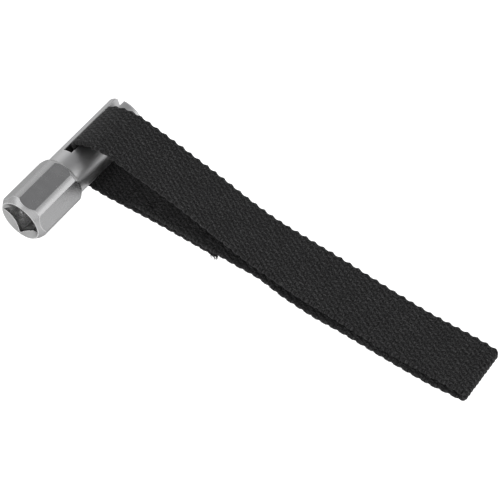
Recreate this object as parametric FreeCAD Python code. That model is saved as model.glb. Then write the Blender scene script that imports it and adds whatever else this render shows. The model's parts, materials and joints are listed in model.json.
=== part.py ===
"""Strap wrench: a socket-driven steel body whose slotted shank carries a sewn loop of webbing.

Frame, in millimetres: the origin is the centre of the square drive's mouth, +Y runs along the
body from the drive mouth to the slotted end, +X is the way the strap lies, +Z is up.
An angle round the body is measured from +Z towards +X.  The strap is drawn in the XZ plane as
a centre line with headings measured from +X towards +Z, and it is as wide as its webbing in Y.
"""
import FreeCAD, Part
import math
import os

Vec = FreeCAD.Vector

# ---- steel body ----------------------------------------------------------------------------
DRIVE_SQUARE = 12.7          # half-inch square drive, across flats
DRIVE_CORNER_R = 0.5         # broached corner radius
DRIVE_DEPTH = 16.0
DRIVE_TURN = 25.0            # broached corner measured from the slot plane, degrees
PILOT_R = 6.45               # hole drilled before the square is broached
PILOT_DEPTH = 18.0
DRILL_POINT_ANGLE = 118.0    # included angle at the bottom of the pilot hole
DETENT_R = 3.0               # ball-shaped dimple in each wall of the square
DETENT_DEPTH = 1.1
DETENT_Y = 7.0
HEX_ACROSS_FLATS = 21.0
HEAD_R = 11.3                # turned radius left between the flats
HEAD_LENGTH = 27.2
RIM_R = 9.5                  # outer edge of the nose
RIM_WIDTH = 0.25             # flat ring between nose chamfer and countersink
COUNTERSINK_ANGLE = 120.0    # included angle of the lead-in to the square
NOSE_LENGTH = 2.7            # axial length of the nose chamfer
REAR_CHAMFER = (0.9, 1.6)    # radial and axial size at the back of the head
HEAD_CROWN = 0.06            # outward bow of both chamfers on the head
SHANK_R = 9.6
SHANK_ROOT_R = 0.5           # cove between the head and the shank
BODY_LENGTH = 70.4
END_CHAMFER = 0.9
SLOT_WIDTH = 4.1
SLOT_END_Y = 34.6            # closed end of the slot
SLOT_ANGLE = -15.5           # upper mouth of the slot, round the body
SLOT_LIP_R = 0.5             # rounded lips that the webbing bends over

# ---- webbing -------------------------------------------------------------------------------
STRAP_WIDTH = 25.0
STRAP_THICK = 2.2
STRAP_Y = 37.2               # edge of the webbing nearest the head
HALF = STRAP_THICK / 2.0
HINGE_GAP = 0.3              # clearance between two sections, across their hinge
SHANK_GAP = 0.15             # clearance between the shank and what swings round it
LAP_GAP = 0.3                # clearance between the two sewn layers
UPPER_BEND = ((5.0, -75.5), (16.0, -44.6))    # radius and turn of the arch over the shank
LOWER_BEND_R = 1.6           # centre-line radius where the strap turns under the shank
FOLD_R = 1.9                 # centre-line radius of the fold at the far end
FOLD_LEG = 4.5               # straight leg on each side of the fold
FOLD_HINGE_X = 183.0
LAP_START_X = 71.0           # cut end of the outer layer of the lap
LAP_END_X = 26.0             # cut end of the inner layer of the lap
LOWER_ROOT_X = 10.0          # hinge between the turn under the shank and the lap
THREAD = 0.6                 # width of a row of stitches
THREAD_DEPTH = 0.3
BOX_STITCH = (38.0, 18.0)    # length and width of the sewn box

# ---- worked out ----------------------------------------------------------------------------
STRIP_HALF_ANGLE = 30.0 - math.degrees(math.acos(HEX_ACROSS_FLATS / 2.0 / HEAD_R))
REST_ANGLE = -SLOT_ANGLE - STRIP_HALF_ANGLE
FLOOR_Z = -HEAD_R * math.cos(math.radians(REST_ANGLE))
LOWER_Z = FLOOR_Z + HALF                      # centre line of webbing lying on the floor
LAP_Z = LOWER_Z + STRAP_THICK + LAP_GAP       # centre line of the layer sewn on top of it
UPPER_FOLD_Z = LOWER_Z + 2.0 * FOLD_R
MID_Y = STRAP_Y + STRAP_WIDTH / 2.0

# Hinges of the upper layer, from the arch over the shank to the fold, in X and Z.
UPPER_HINGES = [(35.0, 10.5), (58.0, 4.6), (81.0, -1.4), (104.0, -3.6),
                (127.0, -5.5), (150.0, -7.3), (169.0, -7.1)]
# Hinges of the lower layer, from the fold back to the lap.
LOWER_HINGE_X = [169.0, 150.0, 127.0, 104.0]
LAP_HINGE = (81.0, LAP_Z)


def turned(profile):
    """Solid of revolution about Y from (radius, y) points that start and end on the axis.

    A third value bows the run that leads up to its point outwards by that much.
    """
    edges = []
    for a, b in zip(profile, profile[1:] + profile[:1]):
        start, end = Vec(a[0], a[1], 0), Vec(b[0], b[1], 0)
        if len(b) > 2:
            outward = Vec(end.y - start.y, start.x - end.x, 0).normalize()
            middle = (start + end) * 0.5 + outward * b[2]
            edges.append(Part.Arc(start, middle, end).toShape())
        else:
            edges.append(Part.LineSegment(start, end).toShape())
    return Part.Face(Part.Wire(edges)).revolve(Vec(0, 0, 0), Vec(0, 1, 0), 360)


def about_axis(shape, angle):
    """Copy of a shape turned round the body axis, from +Z towards +X."""
    turned_copy = shape.copy()
    turned_copy.rotate(Vec(0, 0, 0), Vec(0, 1, 0), angle)
    return turned_copy


def prism(across_flats, sides, y0, y1):
    """Regular prism along Y with one flat facing +Z."""
    radius = across_flats / 2.0 / math.cos(math.pi / sides)
    corners = []
    for i in range(sides):
        angle = math.pi * (2 * i + 1) / sides
        corners.append(Vec(radius * math.sin(angle), y0, radius * math.cos(angle)))
    face = Part.Face(Part.makePolygon(corners + corners[:1]))
    return face.extrude(Vec(0, y1 - y0, 0))


def head_and_shank():
    """Turned blank with the six flats cut on its head."""
    radial, axial = REAR_CHAMFER
    head = turned([(0, 0), (RIM_R, 0), (HEAD_R, NOSE_LENGTH, HEAD_CROWN),
                   (HEAD_R, HEAD_LENGTH - axial), (HEAD_R - radial, HEAD_LENGTH, HEAD_CROWN),
                   (0, HEAD_LENGTH)])
    flats = prism(HEX_ACROSS_FLATS, 6, -1.0, HEAD_LENGTH + 1.0)
    head = head.common(about_axis(flats, 30.0))
    shank = turned([(0, HEAD_LENGTH - 1.0), (SHANK_R + SHANK_ROOT_R, HEAD_LENGTH - 1.0),
                    (SHANK_R + SHANK_ROOT_R, HEAD_LENGTH), (SHANK_R, HEAD_LENGTH + SHANK_ROOT_R),
                    (SHANK_R, BODY_LENGTH - END_CHAMFER), (SHANK_R - END_CHAMFER, BODY_LENGTH),
                    (0, BODY_LENGTH)])
    return head.fuse(shank).removeSplitter()


def drive_recess():
    """Square socket: countersunk mouth, broached walls, detent dimples and drilled bottom."""
    square = prism(DRIVE_SQUARE, 4, -1.0, DRIVE_DEPTH)
    corners = [e for e in square.Edges if abs(e.tangentAt(e.FirstParameter).y) > 0.99]
    square = square.makeFillet(DRIVE_CORNER_R, corners)
    lead_r = RIM_R - RIM_WIDTH
    lead_slope = math.tan(math.radians(90.0 - COUNTERSINK_ANGLE / 2.0))
    mouth = turned([(0, -0.5), (lead_r + 0.5 / lead_slope, -0.5), (0, lead_r * lead_slope)])
    point = PILOT_R / math.tan(math.radians(DRILL_POINT_ANGLE / 2.0))
    pilot = turned([(0, 1.0), (PILOT_R, 1.0), (PILOT_R, PILOT_DEPTH), (0, PILOT_DEPTH + point)])
    recess = square.fuse([mouth, pilot])
    for side in range(4):
        ball = Part.makeSphere(DETENT_R)
        ball.translate(Vec(0, DETENT_Y, DRIVE_SQUARE / 2.0 + DETENT_DEPTH - DETENT_R))
        recess = recess.fuse(about_axis(ball, 90.0 * side))
    return about_axis(recess, 45.0 + DRIVE_TURN)


def slot_cutter():
    """Slot through the shank, open at the end away from the head."""
    length = BODY_LENGTH - SLOT_END_Y + 5.0
    corner = Vec(-SLOT_WIDTH / 2.0, SLOT_END_Y, -2.0 * SHANK_R)
    return Part.makeBox(SLOT_WIDTH, length, 4.0 * SHANK_R, corner)


def lip_edges(body):
    """The long edges where the slot breaks out of the shank."""
    found = []
    for edge in body.Edges:
        box = edge.BoundBox
        on_wall = abs(abs(box.Center.x) - SLOT_WIDTH / 2.0) < 0.01 and box.XLength < 0.01
        if on_wall and box.YLength > 10.0 and box.ZLength < 0.01:
            found.append(edge)
    return found


def wrench_body():
    body = head_and_shank().cut(drive_recess()).cut(slot_cutter())
    body = body.makeFillet(SLOT_LIP_R, lip_edges(body))
    return about_axis(body, SLOT_ANGLE)


def left_of(heading):
    """Unit vector to the left of a heading in the XZ plane."""
    angle = math.radians(heading + 90.0)
    return Vec(math.cos(angle), 0, math.sin(angle))


def ahead(heading):
    angle = math.radians(heading)
    return Vec(math.cos(angle), 0, math.sin(angle))


def track(start, heading, moves):
    """Follow (radius, turn) arcs and (length, 0) runs; yields each move's start, middle and end."""
    place = Vec(start[0], 0, start[1])
    steps = []
    for size, turn in moves:
        if turn == 0:
            end = place + ahead(heading) * size
            middle = (place + end) * 0.5
            steps.append(((place, heading), (middle, heading), (end, heading), False))
        else:
            side = 1.0 if turn > 0 else -1.0
            centre = place + left_of(heading) * (side * size)
            halfway = heading + turn / 2.0
            middle = centre - left_of(halfway) * (side * size)
            end = centre - left_of(heading + turn) * (side * size)
            steps.append(((place, heading), (middle, halfway), (end, heading + turn), True))
        place = end
        heading += turn
    return steps


def band(start, heading, moves, round_start=True, round_end=True):
    """Webbing of full thickness and width along a centre line, with rounded or square ends."""
    steps = track(start, heading, moves)
    edges = []

    def offset(spot, side):
        return spot[0] + left_of(spot[1]) * (side * HALF)

    for side in (1.0, -1.0):
        for first, middle, last, is_arc in steps:
            a, b = offset(first, side), offset(last, side)
            if is_arc:
                edges.append(Part.Arc(a, offset(middle, side), b).toShape())
            else:
                edges.append(Part.LineSegment(a, b).toShape())
    for spot, is_round, way in ((steps[0][0], round_start, -1.0), (steps[-1][2], round_end, 1.0)):
        a, b = offset(spot, 1.0), offset(spot, -1.0)
        if is_round:
            tip = spot[0] + ahead(spot[1]) * (way * HALF)
            edges.append(Part.Arc(a, tip, b).toShape())
        else:
            edges.append(Part.LineSegment(a, b).toShape())
    face = Part.Face(Part.Wire(Part.__sortEdges__(edges)))
    solid = face.extrude(Vec(0, STRAP_WIDTH, 0))
    solid.translate(Vec(0, STRAP_Y, 0))
    return solid


def section(a, b, start_gap=True, end_gap=True):
    """Straight section of webbing between two hinge points, rounded at both ends."""
    run = Vec(b[0] - a[0], 0, b[1] - a[1])
    heading = math.degrees(math.atan2(run.z, run.x))
    before = HALF + HINGE_GAP / 2.0 if start_gap else 0.0
    after = HALF + HINGE_GAP / 2.0 if end_gap else 0.0
    start = Vec(a[0], 0, a[1]) + ahead(heading) * before
    moves = [(run.Length - before - after, 0)]
    return band((start.x, start.z), heading, moves, start_gap, end_gap)


def shank_zone(radius):
    """Cylinder round the body axis, as wide as the strap and a little more."""
    height = STRAP_WIDTH + 10.0
    return Part.makeCylinder(radius, height, Vec(0, STRAP_Y - 5.0, 0), Vec(0, 1, 0))


def slot_heading():
    """Heading of the webbing as it leaves the slot's upper mouth."""
    return 90.0 - SLOT_ANGLE


def slot_pass():
    """Webbing inside the slot."""
    up = ahead(slot_heading())
    start = up * (-SHANK_R - 5.0)
    run = band((start.x, start.z), slot_heading(), [(2.0 * SHANK_R + 10.0, 0)], False, False)
    return run.common(shank_zone(SHANK_R - SHANK_GAP))


def upper_bend():
    """Arch of webbing from the slot's upper mouth over the shank; returns it and its far hinge."""
    lead = 1.0
    start = ahead(slot_heading()) * (SHANK_R + SHANK_GAP - lead)
    moves = [(lead, 0)] + list(UPPER_BEND)
    end, heading = track((start.x, start.z), slot_heading(), moves)[-1][2]
    hinge = end + ahead(heading) * (HALF + HINGE_GAP / 2.0)
    arch = band((start.x, start.z), slot_heading(), moves, False, True)
    return arch.cut(shank_zone(SHANK_R + SHANK_GAP)), (hinge.x, hinge.z)


def lower_bend():
    """Webbing that leaves the slot's lower mouth and turns along the floor."""
    heading = slot_heading() - 180.0
    down = ahead(heading)
    drop = LOWER_BEND_R * (1.0 - math.cos(math.radians(-heading)))
    reach = (-LOWER_Z - drop) / -down.z
    lead = 2.0
    start = down * (reach - lead)
    bend_end = track((start.x, start.z), heading, [(lead, 0), (LOWER_BEND_R, -heading)])[-1][2][0]
    run = LOWER_ROOT_X - HALF - HINGE_GAP / 2.0 - bend_end.x
    moves = [(lead, 0), (LOWER_BEND_R, -heading), (run, 0)]
    turn = band((start.x, start.z), heading, moves, False, True)
    return turn.cut(shank_zone(SHANK_R + SHANK_GAP))


def far_fold():
    """Tight fold that joins the two layers at the far end."""
    leg = FOLD_LEG - HALF - HINGE_GAP / 2.0
    start = (FOLD_HINGE_X + HALF + HINGE_GAP / 2.0, UPPER_FOLD_Z)
    return band(start, 0.0, [(leg, 0), (FOLD_R, -180.0), (leg, 0)])


def box_stitch(z):
    """Sewn box with crossed diagonals, as one flat solid that starts at height z."""
    length, width = BOX_STITCH
    middle = Vec((LAP_START_X + LAP_END_X) / 2.0, MID_Y, z)
    diagonal = math.hypot(length, width)
    slope = math.degrees(math.atan2(width, length))
    rows = [(length, 0.0, 0.0, -width / 2.0), (length, 0.0, 0.0, width / 2.0),
            (width, 90.0, -length / 2.0, 0.0), (width, 90.0, length / 2.0, 0.0),
            (diagonal, slope, 0.0, 0.0), (diagonal, -slope, 0.0, 0.0)]
    bars = []
    for size, angle, x, y in rows:
        bar = Part.makeBox(size + THREAD, THREAD, THREAD_DEPTH)
        bar.translate(Vec(-(size + THREAD) / 2.0, -THREAD / 2.0, 0))
        bar.rotate(Vec(0, 0, 0), Vec(0, 0, 1), angle)
        bar.translate(middle + Vec(x, y, 0))
        bars.append(bar)
    return bars[0].fuse(bars[1:]).removeSplitter()


def build():
    """Every sub-part by node name."""
    parts = {"wrench_body": wrench_body(), "strap_slot_pass": slot_pass()}
    parts["strap_upper_bend"], root_hinge = upper_bend()
    upper = [root_hinge] + UPPER_HINGES + [(FOLD_HINGE_X, UPPER_FOLD_Z)]
    for i in range(len(upper) - 1):
        parts[f"strap_upper_{i + 1}"] = section(upper[i], upper[i + 1])
    parts["strap_fold"] = far_fold()
    lower = [(FOLD_HINGE_X, UPPER_FOLD_Z - 2.0 * FOLD_R)]
    lower += [(x, LOWER_Z) for x in LOWER_HINGE_X] + [LAP_HINGE]
    for i in range(len(lower) - 1):
        parts[f"strap_lower_{len(lower) - 1 - i}"] = section(lower[i], lower[i + 1])
    parts["strap_lap_inner"] = section(LAP_HINGE, (LAP_END_X, LAP_Z), end_gap=False)
    lap_outer = section((LOWER_ROOT_X, LOWER_Z), (LAP_START_X, LOWER_Z), end_gap=False)
    parts["lap_stitching_inner"] = box_stitch(LAP_Z + HALF)
    parts["lap_stitching_outer"] = box_stitch(FLOOR_Z)
    parts["strap_lap_outer"] = lap_outer.cut(parts["lap_stitching_outer"])
    parts["strap_lower_bend"] = lower_bend()
    return parts


def main():
    os.makedirs("parts", exist_ok=True)
    for name, shape in build().items():
        solid = shape.Solids[0] if len(shape.Solids) == 1 else shape
        solid.exportStep(f"parts/{name}.step")
        box = solid.BoundBox
        print(f"{name}: {len(shape.Solids)} solid, valid {solid.isValid()}, {solid.Volume:.1f} mm3")
        print(f"  from {box.XMin:.2f} {box.YMin:.2f} {box.ZMin:.2f}"
              f" to {box.XMax:.2f} {box.YMax:.2f} {box.ZMax:.2f}")


main()
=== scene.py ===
"""Strap wrench: the looks.

The steel body keeps its CAD mesh and gets a satin chrome finish.  The webbing is one woven
strip, modelled as relief on a smooth route through the CAD hinges, and cut into pieces along
the route.  The stitches of the lap are modelled one by one.  Lengths in this file
are millimetres until a mesh is made; the frame and Blender work in metres.
"""

import json
import math

import bpy
import numpy as np
from mathutils import Matrix, Vector


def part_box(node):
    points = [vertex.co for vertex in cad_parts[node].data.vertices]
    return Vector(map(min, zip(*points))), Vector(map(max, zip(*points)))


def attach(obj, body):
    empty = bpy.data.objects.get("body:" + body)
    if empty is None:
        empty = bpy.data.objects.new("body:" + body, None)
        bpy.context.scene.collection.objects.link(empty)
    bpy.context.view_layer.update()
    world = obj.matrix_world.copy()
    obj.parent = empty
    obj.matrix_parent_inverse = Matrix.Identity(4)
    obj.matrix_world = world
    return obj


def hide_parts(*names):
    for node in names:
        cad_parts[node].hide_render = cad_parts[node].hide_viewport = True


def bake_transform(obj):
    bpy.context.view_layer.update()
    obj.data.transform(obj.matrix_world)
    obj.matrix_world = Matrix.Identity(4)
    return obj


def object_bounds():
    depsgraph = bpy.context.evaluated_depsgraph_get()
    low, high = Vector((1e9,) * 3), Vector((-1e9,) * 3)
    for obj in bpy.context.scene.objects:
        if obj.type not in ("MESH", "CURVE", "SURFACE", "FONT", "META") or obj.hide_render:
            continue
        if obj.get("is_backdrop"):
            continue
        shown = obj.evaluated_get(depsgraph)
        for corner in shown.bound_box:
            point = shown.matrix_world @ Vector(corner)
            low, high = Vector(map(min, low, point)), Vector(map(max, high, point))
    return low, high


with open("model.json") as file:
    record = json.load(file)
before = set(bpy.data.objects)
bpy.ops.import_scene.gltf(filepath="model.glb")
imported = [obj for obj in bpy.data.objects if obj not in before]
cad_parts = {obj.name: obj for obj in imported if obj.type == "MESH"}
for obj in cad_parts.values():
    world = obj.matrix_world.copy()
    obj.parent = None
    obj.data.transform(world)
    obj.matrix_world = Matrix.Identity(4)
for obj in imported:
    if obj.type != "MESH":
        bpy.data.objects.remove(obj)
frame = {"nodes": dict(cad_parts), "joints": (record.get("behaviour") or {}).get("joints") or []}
CAD_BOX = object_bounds()
MM = 0.001

# ---- camera --------------------------------------------------------------------------------
AZIMUTH, ELEVATION = 35.7, 53.23
LENS, SENSOR = 129.6, 36.0
EYE = (93.71, -11.77, 733.68)        # from the drive's mouth: right, up and back in the view

# ---- webbing -------------------------------------------------------------------------------
THICK = 2.2
WIDTH = 25.0
HALF = THICK / 2.0
RELIEF = 0.32                        # height of the warp floats over the weft
FLOAT_PITCH = 4.3                    # from one float to the next along a warp yarn
YARN_PITCH = 1.0                     # from one warp yarn to the next
FLOAT_TILT = 0.10                    # the yarn's twist leans each float over
YARN_HALF = 0.60
GRAIN = 0.09                         # unevenness of the spun yarns
EDGE_BULGE = 0.85                    # how far the rounded selvedge stands past the flat face
SLOT_LEAN = 15.5                     # the slot's upper mouth leans this far towards -X
SHANK_R = 9.6
SLOT_SHIFT = 0.5                     # the webbing nears the slot's +X wall by this at the top
MOUTH_R = 9.0                        # where it starts to bend, from the shank's axis
STRIP_LEAN = SLOT_LEAN - math.degrees(math.atan(SLOT_SHIFT / (2.0 * MOUTH_R)))
UPPER_ARCS = ((3.0, -70.4), (22.0, -48.1))   # radius and turn over the shank
LOWER_ARC_R = 1.6
FOLD_R = 1.9
OUTER_LAP_END_X = 71.0
INNER_LAP_END_X = 26.0
STEP_ALONG = FLOAT_PITCH / 12.0
POINTS_ACROSS = 97
EDGE_POINTS = 4

JOINT_TO = {j["child"]: j for j in frame["joints"]}
AXIS_Y = 49.7                        # middle of the webbing's width in the CAD model
LOWEST_Z = CAD_BOX[0].z / MM         # no piece goes below the CAD model


def hinge(body):
    """X and Z of the hinge that leads to a body, in mm."""
    x, _, z = JOINT_TO[body]["pos_m"]
    return np.array([x, z]) / MM


def unit(heading):
    return np.array([math.cos(math.radians(heading)), math.sin(math.radians(heading))])


# ---- the strip's route ---------------------------------------------------------------------
def straight(start, heading, length):
    t = np.linspace(0.0, length, max(2, int(length / 0.1)))[1:, None]
    return start + t * unit(heading), heading


def arc(start, heading, radius, turn):
    side = math.copysign(1.0, turn)
    centre = start + unit(heading + 90.0 * side) * radius
    n = max(6, int(abs(math.radians(turn)) * radius / 0.1))
    angles = heading + np.linspace(0.0, turn, n)[1:]
    return np.array([centre - unit(a + 90.0 * side) * radius for a in angles]), heading + turn


def spline(points, first_heading, last_heading):
    """Clamped cubic through the points, sampled every 0.1 mm or so."""
    points = np.array(points)
    gaps = np.linalg.norm(np.diff(points, axis=0), axis=1)
    knots = np.concatenate([[0.0], np.cumsum(gaps)])
    n = len(points)
    system, right = np.zeros((n, n)), np.zeros((n, 2))
    system[0, 0] = system[-1, -1] = 1.0
    right[0], right[-1] = unit(first_heading), unit(last_heading)
    for i in range(1, n - 1):
        a, b = gaps[i - 1], gaps[i]
        system[i, i - 1:i + 2] = 1.0 / a, 2.0 / a + 2.0 / b, 1.0 / b
        right[i] = 3.0 * ((points[i] - points[i - 1]) / a ** 2
                          + (points[i + 1] - points[i]) / b ** 2)
    slopes = np.linalg.solve(system, right)
    out = []
    for i in range(n - 1):
        g = gaps[i]
        t = np.linspace(0.0, 1.0, max(3, int(g / 0.1)))[1:, None]
        out.append((2 * t ** 3 - 3 * t ** 2 + 1) * points[i]
                   + (t ** 3 - 2 * t ** 2 + t) * g * slopes[i]
                   + (-2 * t ** 3 + 3 * t ** 2) * points[i + 1]
                   + (t ** 3 - t ** 2) * g * slopes[i + 1])
    return np.concatenate(out), last_heading


class Route:
    """The strip's centre line in XZ, from the outer lap's cut end to the inner lap's cut end."""

    def __init__(self):
        lower_z = hinge("lap_outer")[1]
        mouth = unit(90.0 + SLOT_LEAN) * MOUTH_R + unit(SLOT_LEAN) * SLOT_SHIFT
        up = unit(90.0 + STRIP_LEAN)
        corner = mouth + up * ((lower_z - mouth[1]) / up[1])
        tangent = LOWER_ARC_R * math.tan(math.radians(90.0 - STRIP_LEAN) / 2.0)
        self.points = [np.array([OUTER_LAP_END_X, lower_z])]
        self.add(straight, 180.0, OUTER_LAP_END_X - corner[0] - tangent)
        self.add(arc, 180.0, LOWER_ARC_R, STRIP_LEAN - 90.0)
        heading = self.add(straight, 90.0 + STRIP_LEAN, np.linalg.norm(mouth - self.points[-1]))
        for radius, turn in UPPER_ARCS:
            heading = self.add(arc, heading, radius, turn)
        upper = [self.points[-1]] + [hinge(f"upper_{i}") for i in range(2, 9)] + [hinge("fold")]
        self.extend(spline(upper, heading, 0.0))
        self.add(straight, 0.0, 4.5)
        self.add(arc, 0.0, FOLD_R, -180.0)
        self.add(straight, 180.0, 4.5)
        lower = [self.points[-1]] + [hinge(f"lower_{i}") for i in range(4, 0, -1)]
        lower += [np.array([92.0, hinge("lap_inner")[1] + 0.25]), hinge("lap_inner")]
        self.extend(spline(lower, 180.0, 180.0))
        self.add(straight, 180.0, hinge("lap_inner")[0] - INNER_LAP_END_X)
        line = np.array(self.points)
        steps = np.linalg.norm(np.diff(line, axis=0), axis=1)
        self.s = np.concatenate([[0.0], np.cumsum(steps)])
        self.line = line
        self.length = self.s[-1]

    def add(self, make, heading, *sizes):
        return self.extend(make(self.points[-1], heading, *sizes))

    def extend(self, made):
        self.points += list(made[0])
        return made[1]

    def at(self, s):
        """Centre points at distances s along the route."""
        return np.stack([np.interp(s, self.s, self.line[:, k]) for k in (0, 1)], -1)

    def ahead(self, s):
        """Unit tangents, smoothed over half a millimetre."""
        low, high = np.maximum(s - 0.25, 0.0), np.minimum(s + 0.25, self.length)
        run = self.at(high) - self.at(low)
        return run / np.linalg.norm(run, axis=-1, keepdims=True)

    def nearest(self, point, after=0.0):
        """Distance along the route of its nearest point to an XZ point, past a given distance."""
        gap = np.linalg.norm(self.line - point, axis=1)
        gap[self.s < after] = 1e9
        return self.s[int(np.argmin(gap))]


ROUTE = Route()
SLOT_S = ROUTE.nearest((0.0, 0.0))
FOLD_S = ROUTE.nearest((190.0, hinge("fold")[1] - FOLD_R))


# Distance past the slot, and how far the webbing's middle lies from the CAD middle in Y there.
DRIFT = ((-84, 0.5), (-50, 0.1), (-22, -0.9), (-5, -0.6), (8, 0.3), (20, 0.6), (43, 1.1),
         (67, 1.4), (91, 1.4), (127, 0.7), (148, 0.9), (190, 1.0), (205, 0.9), (214, 0.1),
         (222, -0.7), (236, -0.9), (250, -0.9), (275, -0.9), (289, 0.0), (313, 0.3), (377, 0.3))
# Distance past the slot, and how far the near selvedge is lifted there by a slight twist.
TWIST = ((31, 0.0), (43, 0.2), (61, 0.9), (91, 0.9), (109, -0.2), (127, -1.2), (148, -0.9),
         (190, -0.9), (204, -0.8), (214, 0.0))


def along(table, s):
    """A table of (distance past the slot, value), read at distances s along the route."""
    places, values = np.array(table, float).T
    return np.interp(s, SLOT_S + places, values)


def wander(s):
    return along(DRIFT, s) + 0.12 * np.sin(s / 17.0)


# ---- the weave -----------------------------------------------------------------------------
def chance(a, b, salt):
    """Repeatable pseudo-random value in 0..1 for whole-number cells."""
    v = np.sin(a * 12.9898 + b * 78.233 + salt * 37.719) * 43758.5453
    return v - np.floor(v)


def weave(u, v, phase, tilt):
    """Height of the woven face, 0 in the gaps to 1 on the crests, and how pale each yarn is there,
    at u along and v across."""
    best = np.zeros(np.broadcast(u, v).shape)
    pale = np.zeros(best.shape)
    middle = np.round(v / YARN_PITCH)
    for k in (middle - 1, middle, middle + 1):
        steps = u / FLOAT_PITCH + 0.5 * np.mod(k + phase, 2.0) + 0.10 * (chance(k, phase, 1.0) - 0.5)
        m = np.round(steps)
        run = (steps - m) * FLOAT_PITCH
        side = v - k * YARN_PITCH + tilt * run + 0.20 * (chance(k, m, 2.0) - 0.5)
        crest = np.cos(math.pi * run / FLOAT_PITCH) ** (0.8 + 0.6 * chance(k, m, 4.0))
        round_off = np.sqrt(np.clip(1.0 - (side / YARN_HALF) ** 2, 0.0, 1.0))
        rise = crest * round_off * (0.80 + 0.25 * chance(k, m, 3.0))
        pale = np.where(rise > best, chance(k, m, 5.0), pale)
        best = np.maximum(best, rise)
    weft = 0.24 * (0.5 + 0.5 * np.cos(4.0 * math.pi * u / FLOAT_PITCH))
    return np.maximum(best, weft), pale


def cross_section():
    """One ring of the strip: (across, level, out_y, out_n, face) for each of its points.

    across runs over the width, level is +1 on the upper face and -1 on the lower one, and the
    out pair is the outward direction.  The ring starts at the far selvedge's middle, so that
    point i lies over point -1-i.
    """
    flat = WIDTH / 2.0 - EDGE_BULGE
    top = [(y, 1.0, 0.0, 1.0) for y in np.linspace(flat, -flat, POINTS_ACROSS)]
    bend = (np.arange(EDGE_POINTS) + 0.5) / EDGE_POINTS * 90.0
    near = [(-flat, math.cos(math.radians(a)), -math.sin(math.radians(a)),
             math.cos(math.radians(a))) for a in bend]
    far = [(-y, level, -out_y, out_n) for y, level, out_y, out_n in near[::-1]]
    half = far + top + near
    return np.array(half + [(y, -level, out_y, -out_n) for y, level, out_y, out_n in half[::-1]])


RING = cross_section()
FAR_LOOP = 0.55                      # how far the weft loops stand out at the far selvedge
NEAR_LOOP = 0.22                     # and at the near one
FAR_BEAD, NEAR_BEAD = 0.10, 0.22     # the smaller beads of yarn between the loops
SCALLOP_FOOT = 0.30                  # how far the selvedge is drawn in between them
EDGE_INSET = 0.25                    # how far the outer yarns move in between two loops


def strip_surface(s):
    """Points and tone of the woven strip at distances s, in arrays of (rings, points)."""
    s = np.asarray(s, float)[:, None]
    across, level, out_y, out_n = (RING[:, k][None, :] for k in range(4))
    centre = ROUTE.at(s[:, 0])
    tangent = ROUTE.ahead(s[:, 0])
    normal = np.stack([-tangent[:, 1], tangent[:, 0]], -1)
    base = HALF - RELIEF / 2.0 - 0.02
    upper, upper_pale = weave(s, across, 0.0, FLOAT_TILT)
    lower, lower_pale = weave(s, across, 1.0, -FLOAT_TILT)
    height = np.where(level > 0.0, upper, lower)
    pale = np.where(level > 0.0, upper_pale, lower_pale)
    edge = np.abs(out_y)
    far = np.where(out_y > 0.0, 1.0, 0.0)
    loops = 0.5 + 0.5 * np.cos(2.0 * math.pi * (s / FLOAT_PITCH + np.where(out_y > 0.0, 0.1, 0.4)))
    beads = 0.5 + 0.5 * np.cos(4.0 * math.pi * (s / FLOAT_PITCH + 0.13))
    size = 0.55 + 0.45 * chance(np.floor(s / FLOAT_PITCH + 0.6), far, 6.0)
    scallop = np.where(out_y > 0.0, FAR_LOOP * loops * size + FAR_BEAD * beads,
                       NEAR_LOOP * loops + NEAR_BEAD * beads * size)
    height = height * (1.0 - edge) + edge * np.where(out_y > 0.0, loops, 0.75 * beads)
    pale = pale * (1.0 - edge) + edge * chance(np.floor(s * 2.0 / FLOAT_PITCH), far, 7.0)
    lift = base + RELIEF * (height - 0.5) * (1.0 - 0.6 * edge)
    rough = chance(np.round(s / STEP_ALONG), np.round(across * 4.0), 8.0) - 0.5
    lift = lift + GRAIN * (1.0 - edge) * rough
    bulge = EDGE_BULGE - SCALLOP_FOOT + scallop
    inset = -EDGE_INSET * (1.0 - loops) * np.clip((np.abs(across) - 11.0) / 0.7, 0.0, 1.0)
    y = AXIS_Y + wander(s) + across + np.sign(across) * inset + out_y * bulge
    up = np.sign(level) * np.abs(out_n) * lift
    x = centre[:, :1] + normal[:, :1] * up
    z = centre[:, 1:] + normal[:, 1:] * up - along(TWIST, s) * across / (WIDTH / 2.0)
    # tone: the weave's height, which the material paints as shade in the gaps and light on the crests,
    # times a random paleness per yarn
    return np.stack([x, y, z], -1), height * (0.84 + 0.24 * pale)


def grid_faces(rings, points):
    """Quads of a closed tube of rings, wound so that they face outwards."""
    i = np.arange(rings - 1)[:, None] * points
    j = np.arange(points)[None, :]
    k = (j + 1) % points
    return np.stack([i + j, i + points + j, i + points + k, i + k], -1).reshape(-1, 4)


def cap_faces(start, points, flip):
    """Quads over one end ring, each from two neighbours and the two points under them."""
    j = np.arange(points // 2 - 1)
    quads = np.stack([start + j, start + j + 1, start + points - 2 - j, start + points - 1 - j], -1)
    return quads[:, ::-1] if flip else quads


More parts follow.
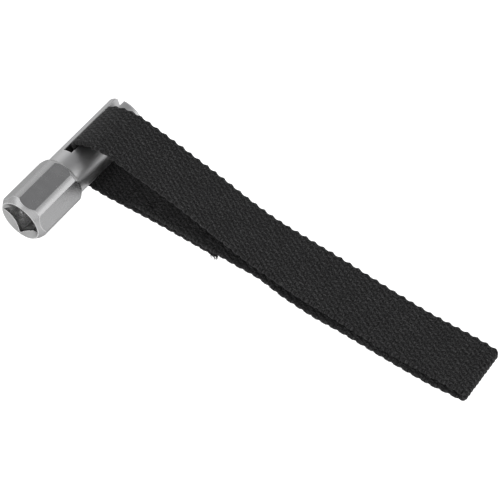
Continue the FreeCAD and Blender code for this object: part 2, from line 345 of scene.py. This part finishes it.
class Pile:
    """Vertices and quads gathered for one mesh, with a crest height and a material for each."""

    def __init__(self):
        self.points, self.faces, self.heights, self.uv, self.slots = [], [], [], [], []
        self.count = 0

    def add(self, points, faces, height, uv, slot=0):
        self.faces.append(np.asarray(faces) + self.count)
        self.points.append(np.asarray(points).reshape(-1, 3))
        self.heights.append(np.broadcast_to(height, len(self.points[-1])))
        self.uv.append(np.broadcast_to(uv, (len(self.points[-1]), 2)))
        self.slots.append(np.full(len(faces), slot))
        self.count += len(self.points[-1])

    def make(self, name, materials):
        points = np.concatenate(self.points)
        points[:, 2] = np.maximum(points[:, 2], LOWEST_Z)
        points *= MM
        faces = np.concatenate(self.faces)
        mesh = bpy.data.meshes.new(name)
        mesh.from_pydata(points.tolist(), [], faces.tolist())
        crest = mesh.attributes.new("crest", "FLOAT", "POINT")
        crest.data.foreach_set("value", np.concatenate(self.heights).astype(np.float32))
        layer = mesh.uv_layers.new(name="webbing")
        uv = np.concatenate(self.uv)[faces.ravel()].astype(np.float32)
        layer.data.foreach_set("uv", uv.ravel())
        mesh.polygons.foreach_set("use_smooth", np.ones(len(faces), bool))
        mesh.polygons.foreach_set("material_index", np.concatenate(self.slots).astype(np.int32))
        for material in materials:
            mesh.materials.append(material)
        mesh.update()
        obj = bpy.data.objects.new(name, mesh)
        bpy.context.scene.collection.objects.link(obj)
        return obj


# ---- materials -----------------------------------------------------------------------------
def new_material(name):
    material = bpy.data.materials.new(name)
    material.use_nodes = True
    nodes, links = material.node_tree.nodes, material.node_tree.links
    nodes.clear()
    out = nodes.new("ShaderNodeOutputMaterial")
    shader = nodes.new("ShaderNodeBsdfPrincipled")
    links.new(shader.outputs["BSDF"], out.inputs["Surface"])

    def node(kind, *feeds, **settings):
        """A node with inputs fed by name: (input, source socket or value)."""
        made = nodes.new(kind)
        for key, value in settings.items():
            setattr(made, key, value)
        for target, source in feeds:
            if isinstance(source, bpy.types.NodeSocket):
                links.new(source, made.inputs[target])
            else:
                made.inputs[target].default_value = source
        return made

    def feed(target, socket):
        links.new(socket, shader.inputs[target])

    return material, shader, node, feed


def ramp(node, source, *stops):
    """A colour ramp of (position, grey or colour) stops."""
    made = node("ShaderNodeValToRGB", ("Fac", source))
    elements = made.color_ramp.elements
    while len(elements) < len(stops):
        elements.new(0.5)
    for element, (place, value) in zip(elements, stops):
        element.position = place
        element.color = (value, value, value, 1.0) if isinstance(value, float) else (*value, 1.0)
    return made.outputs["Color"]


HEAD_BACK = 27.2                     # where the head ends and the duller shank starts
BORE_R = 9.2                         # the drive square and its lead-in lie inside this radius


def chrome():
    """Satin chrome over turned steel: lathe rings, uneven polish, a painted highlight on the edges,
    painted shade in the nooks, and a paler, duller shank.  Inside the drive the steel gets paler with
    depth."""
    material, shader, node, feed = new_material("satin_chrome")
    shader.inputs["Metallic"].default_value = 1.0
    shader.inputs["Specular Tint"].default_value = (0.50, 0.50, 0.50, 1.0)
    place = node("ShaderNodeTexCoord").outputs["Object"]
    rings = node("ShaderNodeMapping", ("Vector", place), ("Scale", (60.0, 5200.0, 60.0)))
    ring_noise = node("ShaderNodeTexNoise", ("Vector", rings.outputs["Vector"]), ("Scale", 1.0),
                      ("Detail", 3.0))
    cloud = node("ShaderNodeTexNoise", ("Vector", place), ("Scale", 190.0), ("Detail", 4.0))
    grain = node("ShaderNodeTexNoise", ("Vector", place), ("Scale", 5200.0), ("Detail", 2.0))
    axes = node("ShaderNodeSeparateXYZ", ("Vector", place))
    across = node("ShaderNodeVectorMath", (0, place), (1, (1.0, 0.0, 1.0)), operation="MULTIPLY")
    radius = node("ShaderNodeVectorMath", (0, across.outputs["Vector"]), operation="LENGTH")
    inside = node("ShaderNodeMapRange", ("Value", radius.outputs["Value"]),
                  ("From Min", BORE_R * MM), ("From Max", (BORE_R + 0.1) * MM),
                  ("To Min", 1.0), ("To Max", 0.0))
    ahead = node("ShaderNodeMath", (0, axes.outputs["Y"]), (1, HEAD_BACK * MM),
                 operation="LESS_THAN")
    bore = node("ShaderNodeMath", (0, inside.outputs["Result"]), (1, ahead.outputs["Value"]),
                operation="MULTIPLY")
    plated = ramp(node, cloud.outputs["Fac"], (0.30, (0.310, 0.310, 0.313)),
                  (0.70, (0.330, 0.330, 0.333)))
    shank = node("ShaderNodeMapRange", ("Value", axes.outputs["Y"]), ("From Min", HEAD_BACK * MM),
                 ("From Max", (HEAD_BACK + 1.0) * MM)).outputs["Result"]
    plated = node("ShaderNodeMix", ("Factor", shank), (6, plated), (7, (0.41, 0.41, 0.413, 1.0)),
                  data_type="RGBA").outputs[2]
    depth = node("ShaderNodeMapRange", ("Value", axes.outputs["Y"]), ("From Min", 1.8 * MM),
                 ("From Max", 3.0 * MM), ("To Min", 0.30), ("To Max", 0.70))
    bare = node("ShaderNodeCombineColor", ("Red", depth.outputs["Result"]),
                ("Green", depth.outputs["Result"]), ("Blue", depth.outputs["Result"]))
    steel = node("ShaderNodeMix", ("Factor", bore.outputs["Value"]), (6, plated),
                 (7, bare.outputs["Color"]), data_type="RGBA").outputs[2]
    soft = node("ShaderNodeBevel", ("Radius", 0.30 * MM))
    soft.samples = 8
    face = node("ShaderNodeNewGeometry").outputs["Normal"]
    turned = node("ShaderNodeVectorMath", (0, soft.outputs["Normal"]), (1, face),
                  operation="DOT_PRODUCT").outputs["Value"]
    # painted highlight: the base colour turns pale where the rounded edge normal leaves the face
    # normal
    edge = ramp(node, turned, (0.955, 1.0), (0.995, 0.0))
    steel = node("ShaderNodeMix", ("Factor", edge), (6, steel), (7, (0.80, 0.80, 0.80, 1.0)),
                 data_type="RGBA").outputs[2]
    # painted shade: ambient occlusion darkens the base colour in the nooks and crevices
    nook = node("ShaderNodeAmbientOcclusion", ("Distance", 1.0 * MM))
    nook.samples, nook.only_local = 8, True
    nook_shade = ramp(node, nook.outputs["AO"], (0.45, 0.25), (0.85, 1.0))
    nook_shaded_steel = node("ShaderNodeMix", ("Factor", 1.0), (6, steel), (7, nook_shade), data_type="RGBA",
                  blend_type="MULTIPLY")
    feed("Base Color", nook_shaded_steel.outputs[2])
    rough = node("ShaderNodeMapRange", ("Value", cloud.outputs["Fac"]), ("From Min", 0.3),
                 ("From Max", 0.7), ("To Min", 0.23), ("To Max", 0.29))
    duller = node("ShaderNodeMath", (0, shank), (1, 0.09), operation="MULTIPLY")
    both_rough = node("ShaderNodeMath", (0, rough.outputs["Result"]), (1, duller.outputs["Value"]),
                      operation="ADD")
    feed("Roughness", both_rough.outputs["Value"])
    fine = node("ShaderNodeMath", (0, grain.outputs["Fac"]), (1, 0.35), operation="MULTIPLY")
    both = node("ShaderNodeMath", (0, ring_noise.outputs["Fac"]), (1, fine.outputs["Value"]),
                operation="ADD")
    bump = node("ShaderNodeBump", ("Height", both.outputs["Value"]), ("Strength", 0.10),
                ("Distance", 0.00004), ("Normal", soft.outputs["Normal"]))
    feed("Normal", bump.outputs["Normal"])
    return material


def fabric(name, dark, light, fleck):
    """Spun webbing: painted shade in the gaps, painted light on the crests, and stray pale fibres
    along the yarns that are partly a painted sheen.
    """
    material, shader, node, feed = new_material(name)
    shader.inputs["Sheen Weight"].default_value = 0.06
    shader.inputs["Sheen Roughness"].default_value = 0.45
    shader.inputs["Specular IOR Level"].default_value = 0.14
    crest = node("ShaderNodeAttribute", attribute_name="crest").outputs["Fac"]
    spot = node("ShaderNodeUVMap", uv_map="webbing").outputs["UV"]
    stretched = node("ShaderNodeMapping", ("Vector", spot), ("Scale", (1500.0, 3200.0, 1.0)))
    fibre = node("ShaderNodeTexNoise", ("Vector", stretched.outputs["Vector"]), ("Scale", 1.0),
                 ("Detail", 4.0), ("Roughness", 0.7)).outputs["Fac"]
    patch = node("ShaderNodeTexNoise", ("Vector", spot), ("Scale", 75.0),
                 ("Detail", 3.0)).outputs["Fac"]
    # painted shade and light: the colour runs from dark in the weave's gaps to light on its crests
    base = ramp(node, crest, (0.15, dark), (0.95, light))
    spun = node("ShaderNodeMapping", ("Vector", spot), ("Scale", (1650.0, 1800.0, 1.0)))
    speckle = node("ShaderNodeTexNoise", ("Vector", spun.outputs["Vector"]), ("Scale", 1.0),
                   ("Detail", 2.0)).outputs["Fac"]
    patchy = ramp(node, patch, (0.35, 0.93), (0.65, 1.07))
    grainy = ramp(node, speckle, (0.38, 0.02), (0.62, 2.9))
    # the painted gap shade times a random patchy tone
    gap_shade_and_patches = node("ShaderNodeMix", ("Factor", 1.0), (6, base), (7, patchy), data_type="RGBA",
                blend_type="MULTIPLY")
    toned = node("ShaderNodeMix", ("Factor", 1.0), (6, gap_shade_and_patches.outputs[2]), (7, grainy), data_type="RGBA",
                 blend_type="MULTIPLY")
    # stray pale fibres, partly a painted sheen highlight: they show only on the crests
    flecks = ramp(node, fibre, (0.54, 0.0), (0.72, 1.0))
    shown = node("ShaderNodeMath", (0, flecks), (1, crest), operation="MULTIPLY")
    mixed = node("ShaderNodeMix", ("Factor", shown.outputs["Value"]), (6, toned.outputs[2]),
                 (7, (*fleck, 1.0)), data_type="RGBA")
    feed("Base Color", mixed.outputs[2])
    rough = node("ShaderNodeMapRange", ("Value", fibre), ("To Min", 0.74), ("To Max", 0.96))
    feed("Roughness", rough.outputs["Result"])
    bump = node("ShaderNodeBump", ("Height", fibre), ("Strength", 0.55), ("Distance", 0.00012))
    feed("Normal", bump.outputs["Normal"])
    return material


FLOOR_GLOW = 0.40                    # a light table, so that shadows stay faint
FLOOR_GAP = 75.0                     # room below the strap for the loop to open downwards


def floor_material():
    material, shader, node, feed = new_material("floor")
    place = node("ShaderNodeTexCoord").outputs["Object"]
    haze = node("ShaderNodeTexNoise", ("Vector", place), ("Scale", 3.0), ("Detail", 2.0))
    feed("Base Color", ramp(node, haze.outputs["Fac"], (0.3, 0.90), (0.7, 0.92)))
    shader.inputs["Roughness"].default_value = 0.9
    shader.inputs["Specular IOR Level"].default_value = 0.1
    shader.inputs["Emission Color"].default_value = (1.0, 1.0, 1.0, 1.0)
    shader.inputs["Emission Strength"].default_value = FLOOR_GLOW
    return material


CHROME = chrome()
WEBBING = fabric("webbing_black", (0.0056, 0.0056, 0.0058), (0.0170, 0.0170, 0.0174),
                 (0.075, 0.075, 0.075))
FIBRE = fabric("webbing_fibre", (0.03, 0.03, 0.03), (0.08, 0.08, 0.08), (0.14, 0.14, 0.14))
THREAD = fabric("sewing_thread", (0.004, 0.004, 0.004), (0.018, 0.018, 0.0185), (0.06, 0.06, 0.06))


# ---- webbing pieces ------------------------------------------------------------------------
def tube(path, radii, sides=4):
    """Points and quads of a small closed tube along a 3-D path."""
    path = np.asarray(path, float)
    run = np.gradient(path, axis=0)
    run /= np.linalg.norm(run, axis=1, keepdims=True) + 1e-12
    guide = np.array([0.31, 0.87, 0.38])
    a = np.cross(run, guide)
    a /= np.linalg.norm(a, axis=1, keepdims=True) + 1e-12
    b = np.cross(run, a)
    angle = np.arange(sides) / sides * 2.0 * math.pi
    ring = np.cos(angle)[None, :, None] * a[:, None] + np.sin(angle)[None, :, None] * b[:, None]
    points = path[:, None] + ring * np.asarray(radii, float)[:, None, None]
    faces = grid_faces(len(path), sides)
    last = (len(path) - 1) * sides
    ends = [cap_faces(0, sides, False), cap_faces(last, sides, True)]
    return points.reshape(-1, 3), np.concatenate([faces] + ends)


def fuzz(pile, s0, s1, per_mm, dice):
    """Stray fibres that stand off the faces and both selvedges."""
    count = int((s1 - s0) * per_mm)
    for _ in range(count):
        s = dice.uniform(s0 + 0.6, s1 - 0.6)
        at_edge = dice.random() < 0.55
        if at_edge:
            j = int(dice.choice([dice.integers(0, 6), len(RING) // 2 - dice.integers(1, 7)]))
        else:
            j = int(dice.integers(0, len(RING)))
        here, height = strip_surface([s, s + 0.4])
        foot = here[0, j]
        tangent = here[1, j] - foot
        tangent /= np.linalg.norm(tangent)
        inner = here[0].mean(0)
        out = foot - inner
        out[1] *= 1.0 if at_edge else 0.0
        out /= np.linalg.norm(out)
        reach = dice.uniform(0.5, 1.3)
        lean = dice.uniform(-0.9, 0.9)
        curl = dice.uniform(-0.6, 0.6)
        path = [foot - out * 0.12,
                foot + out * reach * 0.18 + tangent * lean * reach * 0.35,
                foot + out * reach * 0.28 + tangent * lean * reach * 0.8,
                foot + out * reach * (0.30 + 0.1 * curl) + tangent * lean * reach * 1.25]
        points, faces = tube(path, [0.035, 0.03, 0.025, 0.012])
        pile.add(points, faces, 0.8, (s * MM, j * 0.25 * MM), 1)


def fray(pile, s_end, way, dice):
    """Cut yarn ends at one end of the strip, with a tuft at the near selvedge."""
    rows = [(v, face) for v in np.arange(-11.5, 12.0, YARN_PITCH) for face in (1.0, -1.0)]
    centre = ROUTE.at(np.array([s_end]))[0]
    tangent = ROUTE.ahead(np.array([s_end]))[0] * way
    normal = np.array([-tangent[1], tangent[0]]) * way
    forward = np.array([tangent[0], 0.0, tangent[1]])
    up = np.array([normal[0], 0.0, normal[1]])
    side = np.array([0.0, 1.0, 0.0])
    middle = np.array([centre[0], AXIS_Y + wander(s_end), centre[1]])
    for v, face in rows:
        length = dice.uniform(0.3, 1.1)
        foot = middle + side * v + up * face * 0.45 - forward * 0.6
        bend, rise = dice.uniform(-0.35, 0.35), dice.uniform(-0.2, 0.2)
        path = [foot, foot + forward * (0.6 + length * 0.4),
                foot + forward * (0.6 + length * 0.75) + side * bend * 0.4 + up * rise * 0.5,
                foot + forward * (0.6 + length) + side * bend + up * rise]
        points, faces = tube(path, [0.34, 0.36, 0.30, 0.10], 6)
        pile.add(points, faces, 0.75, (s_end * MM, v * MM))
    for _ in range(26):
        length = dice.uniform(0.7, 1.6)
        foot = middle + side * dice.uniform(-12.8, -11.6) + up * dice.uniform(-0.7, 0.7)
        foot = foot - forward * dice.uniform(0.0, 3.6)
        way_out = forward * dice.uniform(0.3, 1.2) - side * dice.uniform(0.2, 0.7)
        way_out = way_out + up * dice.uniform(-0.1, 0.3)
        way_out /= np.linalg.norm(way_out)
        droop = up * dice.uniform(-0.3, 0.2)
        path = [foot, foot + way_out * length * 0.45, foot + way_out * length * 0.8 + droop * 0.4,
                foot + way_out * length + droop]
        points, faces = tube(path, [0.15, 0.14, 0.11, 0.04])
        pile.add(points, faces, 0.8, (s_end * MM, 0.0))


def webbing_piece(name, s0, s1, dice):
    """The strip from s0 to s1, closed at both ends."""
    pile = Pile()
    rings = max(2, int(round((s1 - s0) / STEP_ALONG)) + 1)
    s = np.linspace(s0, s1, rings)
    points, height = strip_surface(s)
    count = len(RING)
    uv = np.stack(np.broadcast_arrays(s[:, None] * MM, RING[None, :, 0] * MM), -1)
    pile.add(points, grid_faces(rings, count), height.ravel(), uv.reshape(-1, 2))
    for ring, flip in ((0, False), (rings - 1, True)):
        pile.add(points[ring], cap_faces(0, count, flip), height[ring], uv[ring])
    fuzz(pile, s0, s1, 2.2, dice)
    if s0 <= 0.01:
        fray(pile, s0, -1.0, dice)
    if s1 >= ROUTE.length - 0.01:
        fray(pile, s1, 1.0, dice)
    piece = pile.make(name, [WEBBING, FIBRE])
    return piece


def blend_across(piece):
    """Bake a piece's placement into its mesh."""
    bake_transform(piece)


def webbing():
    """Every piece of the strip, in order along it."""
    dice = np.random.default_rng(7)
    # the outer lap, and the turns below and above the shank
    outer_hinge = ROUTE.nearest(hinge("lap_outer"))
    under_shank = outer_hinge + 3.1
    piece = webbing_piece("webbing_outer_lap", 0.0, under_shank, dice)
    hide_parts("strap_lap_outer")
    blend_across(piece)
    piece = webbing_piece("webbing_under_shank", under_shank, SLOT_S, dice)
    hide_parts("strap_lower_bend")
    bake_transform(piece)
    chain = ["strap_collar"] + [f"upper_{i}" for i in range(1, 9)] + ["fold"]
    chain += [f"lower_{i}" for i in range(5, 0, -1)] + ["lap_inner"]
    nodes = [f"strap_upper_{i}" for i in range(1, 9)] + ["strap_fold"]
    nodes += [f"strap_lower_{i}" for i in range(5, 0, -1)] + ["strap_lap_inner"]
    spots, after = [], SLOT_S
    for body in chain[1:]:
        after = ROUTE.nearest(hinge(body), after)
        spots.append(after)
        if body == "fold":
            after = FOLD_S
    arch_top = SLOT_S + SHANK_R + 6.5
    cuts = [0.5 * (arch_top + spots[0])] + [0.5 * (a + b) for a, b in zip(spots, spots[1:])]
    piece = webbing_piece("webbing_over_shank", SLOT_S, cuts[0], dice)
    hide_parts("strap_slot_pass", "strap_upper_bend")
    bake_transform(piece)
    cuts.append(ROUTE.length)
    for i, spot in enumerate(spots):
        piece = webbing_piece("webbing_" + nodes[i].replace("strap_", ""), cuts[i], cuts[i + 1], dice)
        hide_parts(nodes[i])
        reach = 0.98 * min(spot - cuts[i], cuts[i + 1] - spot)
        if chain[i] == "fold" or chain[i + 1] == "fold":
            reach = min(reach, 4.4)
        blend_across(piece)


# ---- stitching -----------------------------------------------------------------------------
STITCH = 3.0                         # length of one stitch
STITCH_GAP = 0.7
THREAD_R = 0.27
BOX = (38.0, 18.0)                   # the sewn box, along and across the lap


def stitched_line(pile, a, b, z, out):
    """Stitches from a to b (X, Y) on a face at height z that looks up (out 1) or down (-1)."""
    a, b = np.array(a), np.array(b)
    run = b - a
    length = np.linalg.norm(run)
    count = int(length / (STITCH + STITCH_GAP))
    pitch = length / count
    for i in range(count):
        start = a + run * ((i * pitch + STITCH_GAP / 2.0) / length)
        t = np.linspace(0.0, 1.0, 7)
        flat = start + run[None, :] / length * (t[:, None] * (pitch - STITCH_GAP))
        dip = z + out * (0.14 - 0.42 * np.abs(2.0 * t - 1.0) ** 3)
        radius = THREAD_R * (1.0 - 0.35 * np.abs(2.0 * t - 1.0) ** 4)
        points, faces = tube(np.column_stack([flat, dip]), radius, 8)
        low, high = (z - 0.5, z + 0.24) if out > 0.0 else (z - 0.12, z + 0.5)
        points[:, 2] = np.clip(points[:, 2], low, high)
        pile.add(points, faces, 0.7, (i * 0.004, 0.0))


def stitching():
    """The sewn box with crossed diagonals, on the top and on the underside of the lap."""
    middle = np.array([(OUTER_LAP_END_X + INNER_LAP_END_X) / 2.0, AXIS_Y + 0.2])
    corners = [middle + np.array([x, y]) * np.array(BOX) / 2.0
               for x, y in ((-1, -1), (1, -1), (1, 1), (-1, 1))]
    lines = [(0, 1), (1, 2), (2, 3), (3, 0), (0, 2), (1, 3)]
    sides = (("inner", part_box("lap_stitching_inner")[0].z / MM, 1.0),
             ("outer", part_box("strap_lap_outer")[0].z / MM + 0.12, -1.0))
    for side, z, out in sides:
        pile = Pile()
        for i, j in lines:
            stitched_line(pile, corners[i], corners[j], z, out)
        piece = pile.make(f"stitching_{side}", [THREAD])
        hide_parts(f"lap_stitching_{side}")
        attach(piece, f"lap_{side}")


webbing()
stitching()
for slot in frame["nodes"]["wrench_body"].material_slots:
    slot.material = CHROME


# ---- stage, light and camera ---------------------------------------------------------------
FLOOR_HALF = 6.0                     # metres from the floor's middle to its sides
# Each softbox: its place from the object's middle and its size, both in metres, and its watts.
LAMPS = (("key", (-0.60, -0.45, 1.0), (1.1, 1.1), 4.0),
         ("fill", (0.5, -0.9, 0.8), (1.4, 1.4), 2.6),
         ("right_strip", (1.0, 0.60, 0.45), (0.9, 0.5), 1.6),
         ("left_strip", (-1.2, 0.60, 0.45), (0.9, 0.5), 0.3))


def aim(obj, place, target):
    obj.location = place
    obj.rotation_mode = "QUATERNION"
    obj.rotation_quaternion = (Vector(target) - Vector(place)).to_track_quat("-Z", "Y")


def softbox(name, place, target, size, watts):
    light = bpy.data.lights.new(name, "AREA")
    light.shape = "RECTANGLE"
    light.size, light.size_y = size
    light.energy = watts
    lamp = bpy.data.objects.new(name, light)
    bpy.context.scene.collection.objects.link(lamp)
    aim(lamp, place, target)


def studio():
    low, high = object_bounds()
    middle = (low + high) / 2.0
    floor_z = CAD_BOX[0].z - FLOOR_GAP * MM
    corners = [(middle.x + x * FLOOR_HALF, middle.y + y * FLOOR_HALF, floor_z)
               for x, y in ((-1, -1), (1, -1), (1, 1), (-1, 1))]
    mesh = bpy.data.meshes.new("floor")
    mesh.from_pydata(corners, [], [(0, 1, 2, 3)])
    mesh.materials.append(floor_material())
    floor = bpy.data.objects.new("floor", mesh)
    bpy.context.scene.collection.objects.link(floor)
    floor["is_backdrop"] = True
    for name, offset, size, watts in LAMPS:
        softbox(name, middle + Vector(offset), middle, size, watts)
    world = bpy.data.worlds.new("studio")
    bpy.context.scene.world = world
    world.use_nodes = True
    nodes, links = world.node_tree.nodes, world.node_tree.links
    sky = nodes.new("ShaderNodeTexCoord")
    split = nodes.new("ShaderNodeSeparateXYZ")
    tones = nodes.new("ShaderNodeValToRGB")
    links.new(sky.outputs["Generated"], split.inputs["Vector"])
    links.new(split.outputs["Z"], tones.inputs["Fac"])
    links.new(tones.outputs["Color"], nodes["Background"].inputs["Color"])
    elements = tones.color_ramp.elements
    elements[0].position, elements[0].color = 0.66, (1.08, 1.08, 1.08, 1.0)
    elements[1].position, elements[1].color = 0.80, (0.46, 0.46, 0.465, 1.0)


def camera():
    a, e = math.radians(AZIMUTH), math.radians(ELEVATION)
    back = Vector((math.sin(a) * math.cos(e), -math.cos(a) * math.cos(e), math.sin(e)))
    right = (-back).cross(Vector((0.0, 0.0, 1.0))).normalized()
    up = right.cross(-back)
    data = bpy.data.cameras.new("camera")
    data.lens, data.sensor_width = LENS, SENSOR
    data.clip_start, data.clip_end = 0.01, 30.0
    made = bpy.data.objects.new("camera", data)
    bpy.context.scene.collection.objects.link(made)
    turn = Matrix((right, up, back)).transposed().to_4x4()
    eye = (right * EYE[0] + up * EYE[1] + back * EYE[2]) * MM
    made.matrix_world = Matrix.Translation(eye) @ turn
    bpy.context.scene.camera = made


studio()
camera()
bpy.context.scene.view_settings.view_transform = "Standard"
